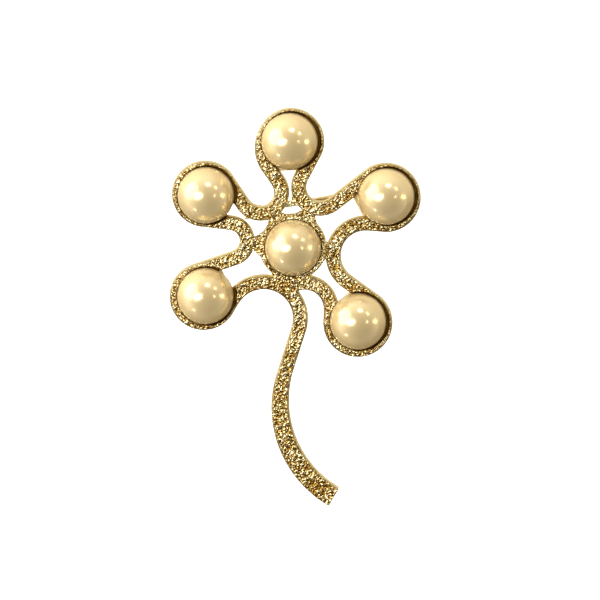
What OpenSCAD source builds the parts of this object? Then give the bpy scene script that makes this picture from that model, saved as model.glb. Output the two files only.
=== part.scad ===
// Flower brooch: a drafted bar bent into five petal loops and a stem, round a ring.
// Six half-round pearls sit in pockets. A hinged pin wire with a rolling catch is on the back.
// Frame: origin at the flower's centre on the back plane, +Y to the flower's top, +Z to the front.

/* [Pearls] */

// diameter of every pearl
pearl_d = 12; // [11.5:0.1:12.3]

// how far each pearl goes on below its widest section, down to its flat back
pearl_skirt = 0.4; // [0.2:0.1:0.8]

/* [Bar] */

// width of the bar at its back
bar_w = 3.3; // [3.1:0.1:3.5]

// thickness of the bar, back to front
bar_h = 2.6; // [2.2:0.1:3]

// how far each side of the bar leans in over that thickness
bar_draft = 0.45; // [0.3:0.05:0.6]

/* [Flower] */

// radius of the bar's middle line round a pearl
loop_r = 5.7; // [5.6:0.05:5.8]

// outer radius of the ring round the middle pearl
ring_r = 7.1; // [7:0.05:7.2]

// width of the ring at its back
ring_w = 2.7; // [2.4:0.1:3]

// width of each web where it meets the bar
web_w = 2; // [1.6:0.1:2.4]

// half of the angle that each web spreads over on the ring
web_spread = 26; // [20:1:30]

/* [Stem] */

// extra width of the stem at its free end
stem_flare = 1.4; // [0.6:0.1:2]

// direction of the stem's free end, seen from the centre of its lower bend
stem_end = 239.5; // [225:0.5:242]

/* [Seats] */

// height of the seats and of the ledge round them, on which the pearls are glued
seat_h = 1.2; // [0.9:0.1:1.6]

// distance from a petal pearl's centre to the straight edge of its seat
seat_edge = 6.1; // [5.8:0.1:6.4]

/* [Pin] */

// diameter of the pin wire
wire_d = 0.84; // [0.7:0.02:0.9]

// distance from the rivet to the middle of the catch
pin_span = 28.4; // [28:0.1:28.8]

// slant of the pin wire, measured from +X
pin_slant = 10.4; // [9.5:0.1:11]

// how far the wire's axis lies behind the back plane
pin_drop = 2.6; // [2.5:0.05:2.8]

// how far the pin wire is swung open
pin_open = 0; // [0:1:95]

// how far the catch's rotor is turned from unlocked towards locked
catch_turn = 0; // [0:1:150]

/* [Hidden] */

$fn = 64;
gold = [0.83, 0.66, 0.33];
plain_gold = [0.86, 0.70, 0.38];
ivory = [0.93, 0.86, 0.70];
cut = 1;            // overshoot of the cutting solids
glue_gap = 0.03;    // room left round each pearl
lap = 0.3;          // how far each straight of the bar runs into the bends
tuck = 0.02;        // how much narrower a straight is, so that its ends lie inside the bends

bar_half = bar_w / 2;
pearl_r = pearl_d / 2;

// petal loops, counterclockwise from the lower right: direction of each loop's centre from the
// flower's centre, its distance, how much tighter than loop_r it is bent, and how far its
// pearl is set off the loop's centre
PETALS = ["lower_right", "upper_right", "top", "upper_left", "lower_left"];
petal_dir = [-49.5, 28.1, 91.1, 148.7, 209];
petal_far = [21, 22.1, 22.2, 21.5, 21.5];
petal_tight = [0, 0, 0.3, 0.3, 0.15];
pearl_shift = [[0, 0.4], [0, 0.3], [-0.3, 0.1], [0.1, -0.2], [0.4, 0.2]];
top_petal = 2;
shoulder_shift = [1, -1.35];    // from the centre of the top petal to that of its shoulder
shoulder_wide = 1.3;            // how much wider than loop_r the shoulder is bent

// valley bends: valley i is the one before petal i, and the last leads into the stem.
// Direction of each bend's centre, its radius, and the gap it leaves to the ring
valley_dir = [-79.5, -6.5, 65.7, 120.6, 174.4, 247.8];
valley_r = [5.6, 6.75, 4.5, 4.4, 3.8, 7.7];
valley_gap = [-1.1, -0.2, 0.6, 0.2, 0.9, -0.2];
last_valley = 5;

// where one piece of the bar ends and the next begins, as a direction from the valley's centre:
// at the ring, but for the bar's first end and the solder line of the stem
bar_start = 130;
stem_start = 27;
valley_split = [bar_start, for (i = [1 : 4]) valley_dir[i] + 180, stem_start];

// lower bend of the stem
stem_bend_at = [20.2, -33.2];
stem_bend_r = 22.9;

// ring and webs
ring_draft = 0.25;
web_h = bar_h - 0.5;
web_reach = 0.8;    // how far a web runs into the bar before it is trimmed

// pin fastening: frame at the rivet, x along the wire, y along the rivet
rivet_at = [-8.4, 7.3];
plate_h = 0.6;
plate_z = pin_drop - plate_h;   // from the wire's axis up to a plate
cheek_r = 1.15;
cheek_t = 0.65;
knuckle_r = 0.95;
knuckle_w = 1.1;
side_gap = 0.05;    // play between a turning piece and what flanks it
rivet_d = 1;
rivet_head_d = 1.6;
rivet_head_h = 0.25;
root_d = 1.1;
root_end = 2.8;
shank_end = 25.2;
tip_end = 31.2;
tip_d = 0.2;

// catch: frame at its middle, x along the wire
rotor_r = 1.45;
rotor_w = 1.7;
journal_r = 1.05;
journal_play = 0.03;
ear_r = 1.75;
ear_t = 0.8;
throat_w = 1;
lever_rest = -75;   // direction of the lever when unlocked, from straight down
lever_t = 0.7;
lever_w = 1.4;
lever_far = 2.6;

function polar(far, dir) = [far * cos(dir), far * sin(dir)];
function direction(from, to) = atan2(to[1] - from[1], to[0] - from[0]);
function turned(angle) = (angle % 360 + 360) % 360;

// a bend is [centre, radius of the middle line, side], where side is 1 where the bar passes
// round the outside of a loop and -1 where it passes through a valley
function petal_bend(i) =
    [polar(petal_far[i], petal_dir[i]), loop_r - petal_tight[i], 1];
function valley_bend(i) =
    [polar(ring_r + valley_gap[i] + bar_half + valley_r[i], valley_dir[i]), valley_r[i], -1];
function petal_pearl_at(i) = petal_bend(i)[0] + pearl_shift[i];
top_shoulder = [petal_bend(top_petal)[0] + shoulder_shift, loop_r + shoulder_wide, 1];
stem_bend = [stem_bend_at, stem_bend_r, 1];

// the bends that one loop of the bar takes. The top petal has a shoulder on its left
function petal_path(i) = [
    valley_bend(i),
    petal_bend(i),
    if (i == top_petal) top_shoulder,
    valley_bend(i + 1)
];

// the bar runs straight from bend a to bend b along their common tangent: the direction square
// to that tangent, and the points where it leaves a and meets b
function square_to(a, b) =
    direction(a[0], b[0]) + acos((b[2] * b[1] - a[2] * a[1]) / norm(b[0] - a[0]));
function on_bend(a, dir) = a[0] - a[2] * polar(a[1], dir);
function leaves(a, b) = on_bend(a, square_to(a, b));
function meets(a, b) = on_bend(b, square_to(a, b));

// moving the far end of an arc outwards: how far the circle's centre shifts towards that end
function flare_shift(near, far, sweep) =
    (far * far - near * near) / (2 * (far - near * cos(sweep)));

module bar_section(half = bar_half) {
    polygon([
        [-half, 0],
        [half, 0],
        [half - bar_draft, bar_h],
        [bar_draft - half, bar_h]
    ]);
}

module bar_bend(bend, from, to) {
    translate(bend[0])
        rotate(from)
            rotate_extrude(angle = turned(to - from))
                translate([bend[1], 0])
                    bar_section();
}

module bar_ring(bend) {
    translate(bend[0])
        rotate_extrude()
            translate([bend[1], 0])
                bar_section();
}

// a straight runs a little way into the bend at each end
module bar_straight(a, b) {
    from = leaves(a, b);
    to = meets(a, b);
    translate(from)
        rotate([90, 0, direction(from, to) + 90])
            translate([0, 0, -lap])
                linear_extrude(norm(to - from) + 2 * lap)
                    bar_section(bar_half - tuck);
}

// one loop of the bar, from its split in the valley before to its split in the valley after
module petal_bar(i) {
    path = petal_path(i);
    last = len(path) - 1;
    bar_bend(path[0], square_to(path[0], path[1]), valley_split[i]);
    for (k = [1 : last]) bar_straight(path[k - 1], path[k]);
    for (k = [1 : last - 1])
        bar_bend(
            path[k],
            square_to(path[k - 1], path[k]) + 180,
            square_to(path[k], path[k + 1]) + 180
        );
    bar_bend(path[last], valley_split[i + 1], square_to(path[last - 1], path[last]));
}

// pocket down to the ledge, for the pearl
module pearl_room(at) {
    translate([at[0], at[1], seat_h])
        cylinder(h = bar_h, r = pearl_r + glue_gap);
}

// small web at the back of the top petal's arm, just in front of the wire
module arm_web() {
    at_rivet()
        translate([0, 0, pin_drop])
            linear_extrude(1.2)
                polygon([[7, -0.3], [7, 0.3], [8.2, 1.2], [8.9, 2.8], [9.9, 2.6], [9.9, -0.3]]);
}

module petal(i) {
    color(gold)
        difference() {
            union() {
                petal_bar(i);
                if (i == top_petal) arm_web();
            }
            pearl_room(petal_pearl_at(i));
            if (i == 0) bar_ring(valley_bend(last_valley));
        }
}

// lower bend of the stem, which widens towards its free end
module flared_bend(from) {
    sweep = stem_end - from;
    lean = bar_draft / bar_h;
    outer = stem_bend_r + bar_half;
    inner = stem_bend_r - bar_half;
    outer_shift = flare_shift(outer, outer + stem_flare / 2, sweep);
    inner_shift = flare_shift(inner, inner - stem_flare / 2, sweep);
    outer_r = outer + stem_flare / 2 - outer_shift;
    inner_r = inner - stem_flare / 2 - inner_shift;
    sector = 2 * stem_bend_r;
    translate(stem_bend_at)
        intersection() {
            difference() {
                translate(polar(outer_shift, stem_end))
                    cylinder(h = bar_h, r1 = outer_r, r2 = outer_r - bar_draft);
                translate(polar(inner_shift, stem_end))
                    translate([0, 0, -cut])
                        cylinder(
                            h = bar_h + 2 * cut,
                            r1 = inner_r - lean * cut,
                            r2 = inner_r + bar_draft + lean * cut
                        );
            }
            linear_extrude(bar_h)
                polygon([
                    [0, 0],
                    polar(sector, from),
                    polar(sector, from + sweep / 2),
                    polar(sector, stem_end)
                ]);
        }
}

module stem() {
    valley = valley_bend(last_valley);
    exit = square_to(valley, stem_bend);
    color(gold) {
        bar_bend(valley, exit, stem_start);
        bar_straight(valley, stem_bend);
        flared_bend(exit + 180);
    }
}

module ring_band() {
    rotate_extrude()
        polygon([
            [ring_r - ring_w, 0],
            [ring_r, 0],
            [ring_r - ring_draft, bar_h],
            [ring_r - ring_w + ring_draft, bar_h]
        ]);
}

// a web spreads out from the bar in one valley to a wide foot on the ring
module web(i) {
    dir = valley_dir[i];
    end = ring_r + valley_gap[i] + web_reach;
    foot_r = ring_r - 0.3;
    linear_extrude(web_h)
        polygon([
            polar(foot_r, dir - web_spread),
            polar(end, dir) - polar(web_w / 2, dir + 90),
            polar(end, dir) + polar(web_w / 2, dir + 90),
            polar(foot_r, dir + web_spread),
            polar(ring_r - ring_w / 2, dir)
        ]);
}

module centre_ring() {
    color(gold)
        difference() {
            union() {
                ring_band();
                for (i = [1 : last_valley]) web(i);
            }
            for (i = [0 : last_valley]) bar_ring(valley_bend(i));
            pearl_room([0, 0]);
        }
}

// plate that closes a loop behind its pearl, straight across the neck. The rest of its edge is
// cut back by the bar
module petal_seat(i) {
    loop = petal_bend(i);
    color(plain_gold)
        difference() {
            translate(loop[0])
                rotate(petal_dir[i])
                    linear_extrude(seat_h)
                        intersection() {
                            circle(r = loop[1] + bar_half - bar_draft);
                            translate([-seat_edge, -2 * loop_r]) square(4 * loop_r);
                        }
            petal_bar(i);
        }
}

module seat_centre() {
    color(plain_gold)
        difference() {
            cylinder(h = seat_h, r = ring_r - ring_w / 2);
            ring_band();
        }
}

module pearl(at) {
    color(ivory)
        translate([at[0], at[1], seat_h])
            intersection() {
                translate([0, 0, pearl_skirt]) sphere(r = pearl_r);
                cylinder(h = pearl_d, r = pearl_d);
            }
}

module at_rivet() {
    translate([rivet_at[0], rivet_at[1], -pin_drop])
        rotate(pin_slant)
            children();
}

module at_catch() {
    at_rivet()
        translate([pin_span, 0, 0])
            children();
}

module along_x(h, r) {
    rotate([0, 90, 0]) cylinder(h = h, r = r, center = true);
}

module along_y(h, r) {
    rotate([90, 0, 0]) cylinder(h = h, r = r, center = true);
}

module cheek() {
    difference() {
        union() {
            along_y(cheek_t, cheek_r);
            translate([-cheek_r, -cheek_t / 2, 0]) cube([2 * cheek_r, cheek_t, plate_z]);
        }
        along_y(cheek_t + cut, rivet_d / 2);
    }
}

module hinge_bracket() {
    cheek_y = knuckle_w / 2 + side_gap + cheek_t / 2;
    plate_x = 3.8;
    plate_y = 2 * cheek_y + cheek_t;
    color(plain_gold)
        at_rivet() {
            translate([-plate_x / 2, -plate_y / 2, plate_z]) cube([plate_x, plate_y, plate_h]);
            for (side = [-1, 1]) translate([0, side * cheek_y, 0]) cheek();
        }
}

module hinge_rivet() {
    shank = knuckle_w + 2 * (side_gap + cheek_t);
    color(plain_gold)
        at_rivet() {
            along_y(shank, rivet_d / 2);
            for (side = [-1, 1])
                translate([0, side * (shank + rivet_head_h) / 2, 0])
                    along_y(rivet_head_h, rivet_head_d / 2);
        }
}

// the wire turns on the rivet by its knuckle. It is thicker at its root, and tapers to a point
// past the catch
module pin_wire() {
    color(plain_gold)
        at_rivet()
            rotate([0, pin_open, 0])
                difference() {
                    union() {
                        along_y(knuckle_w, knuckle_r);
                        rotate([0, 90, 0]) {
                            cylinder(h = root_end, d1 = root_d, d2 = wire_d);
                            translate([0, 0, root_end])
                                cylinder(h = shank_end - root_end, d = wire_d);
                            translate([0, 0, shank_end])
                                cylinder(h = tip_end - shank_end, d1 = wire_d, d2 = tip_d);
                        }
                    }
                    along_y(knuckle_w + cut, rivet_d / 2 + side_gap);
                }
}

module ear() {
    difference() {
        union() {
            along_x(ear_t, ear_r);
            translate([-ear_t / 2, -ear_r, 0]) cube([ear_t, 2 * ear_r, plate_z]);
        }
        along_x(ear_t + cut, journal_r + journal_play);
        translate([-ear_t, -throat_w / 2, -ear_r - cut]) cube([2 * ear_t, throat_w, ear_r + cut]);
    }
}

module catch_base() {
    ear_x = rotor_w / 2 + side_gap + ear_t / 2;
    plate_x = 2 * ear_x + ear_t;
    color(plain_gold)
        at_catch() {
            translate([-plate_x / 2, -ear_r, plate_z]) cube([plate_x, 2 * ear_r, plate_h]);
            for (side = [-1, 1]) translate([side * ear_x, 0, 0]) ear();
        }
}

// slotted barrel with a thumb lever: its slot faces the throats of the ears when unlocked
module catch_rotor() {
    journals = rotor_w + 2 * (side_gap + ear_t);
    color(plain_gold)
        at_catch()
            rotate([catch_turn, 0, 0])
                difference() {
                    union() {
                        along_x(rotor_w, rotor_r);
                        along_x(journals, journal_r);
                        rotate([lever_rest, 0, 0]) {
                            translate([-lever_w / 2, -lever_t / 2, -lever_far])
                                cube([lever_w, lever_t, lever_far - journal_r]);
                            translate([0, 0, -lever_far]) along_y(lever_t, lever_w / 2);
                        }
                    }
                    along_x(journals + cut, throat_w / 2);
                    translate([-journals, -throat_w / 2, -rotor_r - cut])
                        cube([2 * journals, throat_w, rotor_r + cut]);
                }
}

for (i = [0 : len(PETALS) - 1]) {
    petal(i);
    petal_seat(i);
    pearl(petal_pearl_at(i));
}
stem();
centre_ring();
seat_centre();
pearl([0, 0]);  // pearl_centre
hinge_bracket();
hinge_rivet();
pin_wire();
catch_base();
catch_rotor();
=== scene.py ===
import math

import bmesh
import bpy
from mathutils import Matrix, Vector, noise


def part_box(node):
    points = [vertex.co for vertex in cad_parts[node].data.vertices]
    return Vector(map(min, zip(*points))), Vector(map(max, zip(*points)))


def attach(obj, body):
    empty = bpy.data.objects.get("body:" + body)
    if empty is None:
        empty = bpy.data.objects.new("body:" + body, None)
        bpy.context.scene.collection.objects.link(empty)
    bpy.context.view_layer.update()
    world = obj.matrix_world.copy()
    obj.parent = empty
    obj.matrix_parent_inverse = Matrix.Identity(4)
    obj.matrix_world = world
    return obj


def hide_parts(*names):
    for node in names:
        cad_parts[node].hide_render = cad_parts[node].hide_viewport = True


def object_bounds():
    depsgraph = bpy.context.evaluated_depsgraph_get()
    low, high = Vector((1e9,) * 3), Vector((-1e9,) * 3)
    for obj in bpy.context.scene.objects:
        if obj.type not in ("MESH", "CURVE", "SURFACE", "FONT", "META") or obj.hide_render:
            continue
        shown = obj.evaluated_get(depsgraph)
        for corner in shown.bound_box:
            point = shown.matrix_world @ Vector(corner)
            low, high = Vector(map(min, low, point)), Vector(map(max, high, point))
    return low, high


# Flower brooch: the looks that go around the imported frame. Metres, in the frame of the part:
# the origin is at the flower's centre on its back plane, +Y to its top, +Z to its front.
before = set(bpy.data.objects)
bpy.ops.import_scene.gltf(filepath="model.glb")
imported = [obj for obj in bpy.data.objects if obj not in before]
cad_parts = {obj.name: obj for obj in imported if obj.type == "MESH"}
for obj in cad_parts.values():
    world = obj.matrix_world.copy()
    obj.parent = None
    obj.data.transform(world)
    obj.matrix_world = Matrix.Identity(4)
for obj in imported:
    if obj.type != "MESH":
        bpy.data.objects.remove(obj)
cad_low, cad_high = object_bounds()

MM = 0.001
BAR_TRIANGLES = 190000
FLAT_BACK = -0.985      # faces that point straight back are shaded flat
PETALS = ["lower_right", "upper_right", "top", "upper_left", "lower_left"]
BAR_NODES = ["petal_" + p for p in PETALS] + ["stem", "centre_ring"]
SEATS = ["seat_" + p for p in PETALS] + ["seat_centre"]
PEARLS = ["pearl_" + p for p in PETALS] + ["pearl_centre"]
FINDINGS = {
    "hinge_bracket": "frame",
    "hinge_rivet": "frame",
    "catch_base": "frame",
    "pin_wire": "pin",
    "catch_rotor": "rotor",
}


# ---- geometry helpers: meshes are shaped in millimetres, then brought back to metres ----

def copy_in_mm(name, nodes):
    """One mesh object of the given frame nodes, in millimetres."""
    shape = bmesh.new()
    for node in nodes:
        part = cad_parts[node].data.copy()
        part.transform(Matrix.Scale(1 / MM, 4))
        shape.from_mesh(part)
        bpy.data.meshes.remove(part)
    bmesh.ops.remove_doubles(shape, verts=shape.verts, dist=0.0005)
    return object_from(name, shape)


def object_from(name, shape):
    mesh = bpy.data.meshes.new(name)
    shape.to_mesh(mesh)
    shape.free()
    piece = bpy.data.objects.new(name, mesh)
    bpy.context.scene.collection.objects.link(piece)
    return piece


def baked(piece, *modifiers):
    """Applies modifiers, each (type, settings), to the piece's mesh."""
    for kind, settings in modifiers:
        added = piece.modifiers.new(kind.lower(), kind)
        for key, value in settings.items():
            setattr(added, key, value)
    graph = bpy.context.evaluated_depsgraph_get()
    mesh = bpy.data.meshes.new_from_object(piece.evaluated_get(graph))
    old = piece.data
    piece.modifiers.clear()
    piece.data = mesh
    bpy.data.meshes.remove(old)
    mesh.name = piece.name


def softened(name, nodes, voxel):
    """The nodes as one closed mesh with its edges a little rounded."""
    piece = copy_in_mm(name, nodes)
    baked(
        piece,
        ("REMESH", {"mode": "VOXEL", "voxel_size": voxel}),
        ("SMOOTH", {"factor": 0.5, "iterations": 2}),
    )
    return piece


def rise(value, start, length):
    """0 up to start, then a straight rise to 1 over length."""
    return min(max((value - start) / length, 0), 1)


def finished(piece, body, slot, material, *nodes):
    """Brings a piece to metres, shades it smooth but for a flat back, gives it its material, hangs it
    on its body and hides the frame parts it stands for.
    """
    piece.data.transform(Matrix.Scale(MM, 4))
    for face in piece.data.polygons:
        face.use_smooth = face.normal.z > FLAT_BACK
    piece.data.materials.clear()
    piece.data.materials.append(material)
    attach(piece, body)
    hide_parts(*nodes)
    return piece


# ---- materials ----

SATIN = 0.42            # roughness of the bar where it has no grain


def new_material(name):
    material = bpy.data.materials.new(name)
    material.use_nodes = True
    tree = material.node_tree
    tree.nodes.clear()
    return material, tree


def node(tree, kind, inputs=None, **settings):
    made = tree.nodes.new(kind)
    for key, value in settings.items():
        setattr(made, key, value)
    for key, value in (inputs or {}).items():
        made.inputs[key].default_value = value
    return made


def ramp(tree, factor, stops):
    made = tree.nodes.new("ShaderNodeValToRGB")
    elements = made.color_ramp.elements
    while len(elements) < len(stops):
        elements.new(0.5)
    for element, (position, colour) in zip(elements, stops):
        element.position = position
        element.color = (*colour, 1)
    tree.links.new(factor, made.inputs["Fac"])
    return made.outputs["Color"]


def span(tree, value, low, high, to_low, to_high):
    made = node(tree, "ShaderNodeMapRange", {1: low, 2: high, 3: to_low, 4: to_high})
    tree.links.new(value, made.inputs[0])
    return made.outputs[0]


def pattern(tree, kind, scale, **inputs):
    """A noise or cell pattern in object space; scale is in patterns per millimetre."""
    where = node(tree, "ShaderNodeTexCoord")
    made = node(tree, kind, {"Scale": scale / MM, **inputs})
    tree.links.new(where.outputs["Object"], made.inputs["Vector"])
    return made


def mixed(tree, way, one, other):
    """Two colours or greys put together in full, such as multiplied."""
    made = node(tree, "ShaderNodeMix", {"Factor": 1.0}, data_type="RGBA", blend_type=way)
    tree.links.new(one, made.inputs["A"])
    tree.links.new(other, made.inputs["B"])
    return made.outputs["Result"]


def bumped(tree, height, strength, distance):
    made = node(tree, "ShaderNodeBump", {"Strength": strength, "Distance": distance * MM})
    tree.links.new(height, made.inputs["Height"])
    return made.outputs["Normal"]


def shaded(tree, inputs, links):
    shader = node(tree, "ShaderNodeBsdfPrincipled", inputs)
    for key, source in links.items():
        tree.links.new(source, shader.inputs[key])
    out = node(tree, "ShaderNodeOutputMaterial")
    tree.links.new(shader.outputs[0], out.inputs["Surface"])
    return shader, out


def grained_gold():
    """Gold plate: bright over the nuggets, brown with patina in the creases, satin elsewhere; painted
    shade makes the cups beside the pearls brown and the stem darker.
    """
    material, tree = new_material("grained_gold")
    patina_and_cup_shade = node(tree, "ShaderNodeAttribute", attribute_name="patina_and_cup_shade").outputs["Fac"]
    front = node(tree, "ShaderNodeAttribute", attribute_name="front").outputs["Fac"]
    cloud = pattern(tree, "ShaderNodeTexNoise", 0.25, Detail=3).outputs["Fac"]
    grit = pattern(tree, "ShaderNodeTexNoise", 5, Detail=4, Roughness=0.6).outputs["Fac"]
    plate = ramp(tree, cloud, [(0.3, (0.96, 0.84, 0.48)), (0.7, (1.0, 0.91, 0.58))])
    # the stem's grain is painted darker towards its foot, as painted shade, and the patina is patchy at
    # random
    place = node(tree, "ShaderNodeTexCoord").outputs["Object"]
    split = node(tree, "ShaderNodeSeparateXYZ")
    tree.links.new(place, split.inputs[0])
    stem = span(tree, split.outputs["Y"], -40 * MM, -12 * MM, 1.2, 1)
    stem_shade_and_patchiness = mixed(tree, "MULTIPLY", stem, span(tree, cloud, 0.35, 0.65, 1.15, 0.8))
    patina_and_shade_amount = mixed(tree, "MULTIPLY", patina_and_cup_shade, stem_shade_and_patchiness)
    # this brown is patina in the creases and painted shade in the cups and down the stem
    patina_and_shade_colour = ramp(tree, patina_and_shade_amount, [(0.2, (1, 1, 1)), (0.85, (0.32, 0.20, 0.06))])
    polish = span(tree, grit, 0.3, 0.7, 0.12, 0.3)
    satin = node(tree, "ShaderNodeMix", {"A": SATIN}, data_type="FLOAT")
    tree.links.new(front, satin.inputs["Factor"])
    tree.links.new(polish, satin.inputs["B"])
    shaded(
        tree,
        {"Metallic": 1.0},
        {
            "Base Color": mixed(tree, "MULTIPLY", plate, patina_and_shade_colour),
            "Roughness": satin.outputs["Result"],
            "Normal": bumped(tree, grit, 0.35, 0.08),
        },
    )
    return material


def plain_gold():
    """Smooth cast gold plate with faint tooling marks."""
    material, tree = new_material("plain_gold")
    cloud = pattern(tree, "ShaderNodeTexNoise", 0.3, Detail=3).outputs["Fac"]
    marks = pattern(tree, "ShaderNodeTexNoise", 3, Detail=5, Roughness=0.65).outputs["Fac"]
    plate = ramp(tree, cloud, [(0.3, (0.78, 0.56, 0.24)), (0.7, (0.88, 0.68, 0.33))])
    shaded(
        tree,
        {"Metallic": 1.0},
        {
            "Base Color": plate,
            "Roughness": span(tree, marks, 0.3, 0.7, 0.32, 0.5),
            "Normal": bumped(tree, marks, 0.15, 0.04),
        },
    )
    return material


def nacre():
    """Imitation pearl: ivory nacre under a clear lacquer."""
    material, tree = new_material("nacre")
    cloud = pattern(tree, "ShaderNodeTexNoise", 0.18, Detail=2).outputs["Fac"]
    grit = pattern(tree, "ShaderNodeTexNoise", 2.5, Detail=3).outputs["Fac"]
    body = ramp(tree, cloud, [(0.3, (0.80, 0.62, 0.32)), (0.7, (0.84, 0.66, 0.35))])
    shaded(
        tree,
        {
            "Metallic": 0.4,
            "IOR": 1.5,
            "Subsurface Weight": 0.25,
            "Subsurface Radius": (1.2 * MM, 0.9 * MM, 0.5 * MM),
            "Subsurface Scale": 1.0,
            "Coat Weight": 0.8,
            "Coat Roughness": 0.04,
            "Coat IOR": 1.6,
        },
        {
            "Base Color": body,
            "Roughness": span(tree, grit, 0.3, 0.7, 0.2, 0.24),
            "Normal": bumped(tree, grit, 0.02, 0.01),
        },
    )
    return material


GRAINED = grained_gold()
PLAIN = plain_gold()
NACRE = nacre()


# ---- the bar: five loops, the stem and the ring, with a nugget grain along the front ----

NUGGET = 0.52           # size of one nugget, mm
NUGGET_SLOPE = 0.6      # steepest lean of a nugget's face
CREASE_DEPTH = 0.16     # depth of the creases between nuggets
CREASE_WIDTH = 0.28     # width of a crease, in nuggets
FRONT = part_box("stem")[1].z / MM    # height of the bar's face, mm
CUP_SHIFT = (0.45, 0.1)  # how far a petal's cup reaches past its pearl to the right, mm
CUP_PLAY = 0.3          # how much wider than the pearl the cup is, mm
CUP_EDGE = 0.25         # width of the slope down into the cup, mm
CUP_DEPTH = 1.3         # how far down the gap goes, mm
# each is (start, length) for rise()
GRAIN_FACING = (-0.1, 0.25)     # by how far a face looks forward
GRAIN_HEIGHT = (0.35, 0.25)     # by height, as a share of FRONT
CUP_HEIGHT = (0.2, 0.2)         # by height, as a share of FRONT, so the back stays clean
GRAIN_SUNK = 0.06       # keeps the grain's tops about level with the CAD's face, mm
HOLLOW_DEPTH = 0.25     # range of grain height from clean to dirty, mm
BAR_VOXEL = 0.115


def nugget_height(at):
    """Height of the grain at a point, in mm: leaning facets with creases between them."""
    at = at + noise.noise_vector(at * 0.6) * 0.3
    gaps, centres = noise.voronoi(at / NUGGET)
    lean = noise.cell_vector(centres[0] * 7.3) - Vector((0.5, 0.5, 0.5))
    facet = 2 * NUGGET_SLOPE * (at - centres[0] * NUGGET).dot(lean)
    crease = 1 - min((gaps[1] - gaps[0]) / CREASE_WIDTH, 1)
    pebble = 0.035 * noise.noise(at * 3.7) + 0.06 * noise.noise(at * 0.9)
    return facet + pebble - CREASE_DEPTH * crease


def petal_cups():
    """Centre and radius of each petal's cup, in mm."""
    cups = []
    for petal in PETALS:
        low, high = (corner.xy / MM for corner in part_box("pearl_" + petal))
        centre = (low + high) / 2 + Vector(CUP_SHIFT)
        cups.append((centre, (high.x - low.x) / 2 + CUP_PLAY))
    return cups


def cup_gap(at, cups):
    """1 in the gap beside a petal's pearl, which sits against the left of its cup; 0 outside."""
    for centre, radius in cups:
        inside = (radius - (at.xy - centre).length) / CUP_EDGE
        if inside > 0:
            return min(inside, 1)
    return 0


def grained_bar():
    """The whole bar as one piece, its front and upper sides grained, its cups cut beside the pearls."""
    piece = softened("bar", BAR_NODES, BAR_VOXEL)
    mesh = piece.data
    patina_and_cup_shade = [0.0] * len(mesh.vertices)
    front = [0.0] * len(mesh.vertices)
    normals = [each.vector.copy() for each in mesh.vertex_normals]
    cups = petal_cups()
    for vertex, normal in zip(mesh.vertices, normals):
        up = rise(normal.z, *GRAIN_FACING)
        high = rise(vertex.co.z / FRONT, *GRAIN_HEIGHT)
        weight = up * high
        gap = rise(vertex.co.z / FRONT, *CUP_HEIGHT) * cup_gap(vertex.co, cups)
        weight *= 1 - gap
        if weight == 0 and gap == 0:
            continue
        height = nugget_height(vertex.co)
        front[vertex.index] = weight
        # the cup gap beside each pearl is painted fully brown, as painted shade; the creases get patina
        patina_and_cup_shade[vertex.index] = max(weight * min(max(0.5 - height / HOLLOW_DEPTH, 0), 1), gap)
        vertex.co += normal * weight * (height - GRAIN_SUNK)
        vertex.co.z *= 1 - gap * CUP_DEPTH / FRONT
    # the material reads these two: how brown a spot is, from patina in the creases and painted shade in
    # the cups beside the pearls, and where the bright grain is
    for name, values in (("patina_and_cup_shade", patina_and_cup_shade), ("front", front)):
        mesh.attributes.new(name, "FLOAT", "POINT").data.foreach_set("value", values)
    share = BAR_TRIANGLES / (2 * len(mesh.polygons))
    baked(piece, ("DECIMATE", {"ratio": min(share, 1)}))
    return finished(piece, "frame", "grained_gold", GRAINED, *BAR_NODES)


# ---- pearls: half-round domes, flat at the back, with a faintly uneven skin ----

SKIN = 0.006            # unevenness of a pearl's skin, mm
WORN_EDGE = 0.2         # rounding of the edge of a pearl's flat back, mm


def pearl(name, seed):
    """One pearl; seed makes its skin different from the others'."""
    low, high = (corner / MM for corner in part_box(name))
    radius = (high.x - low.x) / 2
    skirt = radius - (high.z - low.z)
    centre = Vector(((low.x + high.x) / 2, (low.y + high.y) / 2, high.z - radius))
    drift = Vector((seed * 3.1, seed * 1.7, 0))
    shape = bmesh.new()
    bmesh.ops.create_icosphere(shape, subdivisions=5, radius=radius)
    for vertex in shape.verts:
        out = vertex.co.normalized()
        vertex.co -= out * SKIN * (1 + noise.noise(vertex.co * 0.6 + drift))
        # the back is cut flat, and its edge is worn round
        gap = vertex.co.z - skirt
        vertex.co.z = skirt + (gap + math.hypot(gap, WORN_EDGE)) / 2 - WORN_EDGE / 2
        vertex.co.z = max(vertex.co.z, skirt)
        vertex.co += centre
    piece = object_from(name + "_dome", shape)
    return finished(piece, "frame", "pearl", NACRE, name)


# ---- seats and findings: the frame's own shapes with softened edges ----

SEAT_VOXEL = 0.12
FINDING_VOXEL = 0.07


def cast(name, body, voxel):
    piece = softened(name + "_cast", [name], voxel)
    return finished(piece, body, "plain_gold", PLAIN, name)


grained_bar()
for index, name in enumerate(PEARLS):
    pearl(name, index + 1)
for name in SEATS:
    cast(name, "frame", SEAT_VOXEL)
for name, body in FINDINGS.items():
    cast(name, body, FINDING_VOXEL)


# ---- floor, light and camera ----

TILT = math.radians(6)      # the camera leans towards the flower's top by this much
DISTANCE = 0.8
VIEW_WIDTH = 0.1260         # what the picture spans at the flower
LENS = 150.0
AIM = Vector((1.05, 1.72, 1.0)) * MM    # the camera looks this far from the middle, above the back
LIGHT_FAR = 0.9
FLOOR_HALF = 0.6            # half the width of the floor
FLOOR_DROP = 38.0           # mm below the brooch's back, so that the open pin stays clear of it

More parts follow.
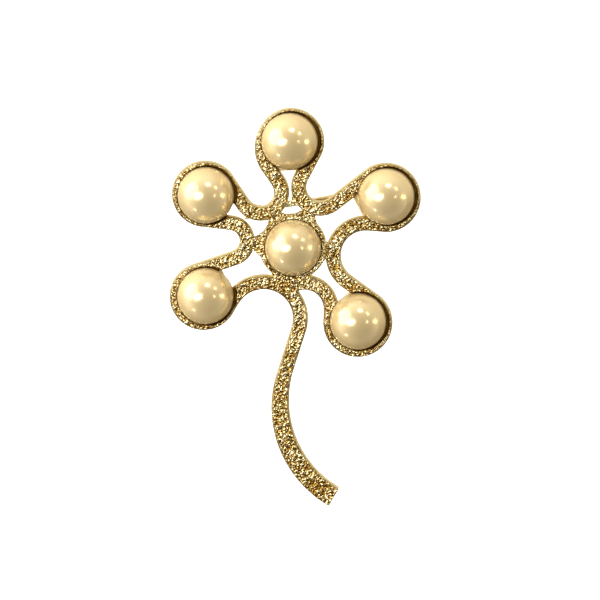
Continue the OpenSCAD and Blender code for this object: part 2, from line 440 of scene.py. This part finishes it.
# soft oval panels round the flower: direction in the picture, lean from straight ahead, roll,
# width and height as seen from the flower (all degrees), radiance and colour
PANELS = {
    "window": (178, 29, -65, (34, 22), 9, (1, 0.98, 0.94)),
    "glow": (160, 66, 0, (56, 60), 2.0, (1, 0.99, 0.95)),
    "lamp_top": (79, 51, 0, (17, 13), 8, (1, 0.98, 0.9)),
    "lamp_top_right": (41, 55, 0, (10, 9), 7, (1, 0.93, 0.7)),
    "lamp_right": (4, 37, 0, (10, 6), 6, (1, 0.93, 0.75)),
    "lamp_far_right": (1, 73, 0, (12, 20), 6, (1, 0.9, 0.5)),
    "lamp_low": (230, 73, 0, (8, 8), 6, (1, 0.97, 0.9)),
}


def floor():
    """A plain pale floor that gold doesn't reflect."""
    shape = bmesh.new()
    bmesh.ops.create_grid(shape, x_segments=2, y_segments=2, size=FLOOR_HALF)
    for vertex in shape.verts:
        vertex.co.z = -FLOOR_DROP * MM
    piece = object_from("floor", shape)
    material, tree = new_material("floor")
    cloud = pattern(tree, "ShaderNodeTexNoise", 0.01).outputs["Fac"]
    shader, out = shaded(
        tree,
        {"Roughness": 0.9, "Emission Color": (1, 1, 1, 1), "Emission Strength": 0.85},
        {"Base Color": ramp(tree, cloud, [(0, (0.9, 0.9, 0.9)), (1, (0.93, 0.93, 0.93))])},
    )
    # seen from below, the floor is clear, so that it doesn't hide the brooch's back
    either = node(tree, "ShaderNodeMixShader")
    below = node(tree, "ShaderNodeNewGeometry").outputs["Backfacing"]
    clear = node(tree, "ShaderNodeBsdfTransparent")
    tree.links.new(below, either.inputs[0])
    tree.links.new(shader.outputs[0], either.inputs[1])
    tree.links.new(clear.outputs[0], either.inputs[2])
    tree.links.new(either.outputs[0], out.inputs["Surface"])
    piece.data.materials.append(material)
    piece.visible_glossy = False


def panel(name, side, lean, roll, spread, radiance, colour):
    """An oval light that faces the flower, sized and lit by how it looks from there."""
    data = bpy.data.lights.new(name, "AREA")
    data.shape = "ELLIPSE"
    data.size, data.size_y = (2 * LIGHT_FAR * math.tan(math.radians(angle) / 2) for angle in spread)
    data.energy = radiance * math.pi * data.size * data.size_y * math.pi / 4
    data.color = colour
    side, lean = math.radians(side), math.radians(lean)
    place = LIGHT_FAR * Vector((
        math.sin(lean) * math.cos(side),
        math.sin(lean) * math.sin(side),
        math.cos(lean),
    ))
    lamp = bpy.data.objects.new(name, data)
    lamp.location = place
    lamp.rotation_euler = place.to_track_quat("Z", "Y").to_euler()
    lamp.rotation_euler.rotate_axis("Z", math.radians(roll))
    bpy.context.scene.collection.objects.link(lamp)


def camera():
    """The photograph's view: from in front, leaning a little towards the flower's top."""
    data = bpy.data.cameras.new("camera")
    data.lens = LENS
    data.sensor_width = LENS * VIEW_WIDTH / DISTANCE
    middle = (cad_low + cad_high) / 2
    target = Vector((middle.x + AIM.x, middle.y + AIM.y, AIM.z))
    back = Vector((0, math.sin(TILT), math.cos(TILT)))
    right = Vector((1, 0, 0))
    thing = bpy.data.objects.new("camera", data)
    thing.location = target + back * DISTANCE
    thing.rotation_euler = Matrix((right, back.cross(right), back)).transposed().to_euler()
    bpy.context.scene.collection.objects.link(thing)
    bpy.context.scene.camera = thing


def surroundings():
    """A soft studio: bright towards the horizon, dim overhead and on the stem's side."""
    sky = bpy.data.worlds.new("studio")
    sky.use_nodes = True
    tree = sky.node_tree
    where = node(tree, "ShaderNodeTexCoord").outputs["Generated"]

    def towards(direction):
        dot = node(tree, "ShaderNodeVectorMath", operation="DOT_PRODUCT")
        tree.links.new(where, dot.inputs[0])
        dot.inputs[1].default_value = Vector(direction).normalized()
        return dot.outputs["Value"]

    height = towards((0, 0, 1))
    above = span(tree, height, 0.25, 0.95, 0.9, 0.12)
    glow = span(tree, towards((-0.7, 0.5, 0.5)), 0, 1, 0.8, 1.7)
    side = span(tree, towards((0, 1, 0)), -0.25, 0.25, 0, 1)
    under = ramp(tree, side, [(0, (0.25, 0.17, 0.08)), (1, (1.0, 0.86, 0.6))])
    tint = node(tree, "ShaderNodeMix", {"B": (1, 0.97, 0.92, 1)}, data_type="RGBA")
    tree.links.new(span(tree, height, -0.3, 0.1, 0, 1), tint.inputs["Factor"])
    tree.links.new(under, tint.inputs["A"])
    shade = span(tree, towards((0.1, -0.8, 0.6)), 0.3, 1, 1, 0.25)

    def times(one, other):
        product = node(tree, "ShaderNodeMath", operation="MULTIPLY")
        tree.links.new(one, product.inputs[0])
        tree.links.new(other, product.inputs[1])
        return product.outputs[0]

    backdrop = tree.nodes["Background"]
    tree.links.new(tint.outputs["Result"], backdrop.inputs["Color"])
    tree.links.new(times(times(above, glow), shade), backdrop.inputs["Strength"])
    bpy.context.scene.world = sky


floor()
surroundings()
for name, facts in PANELS.items():
    panel(name, *facts)
camera()
bpy.context.scene.view_settings.view_transform = "Standard"
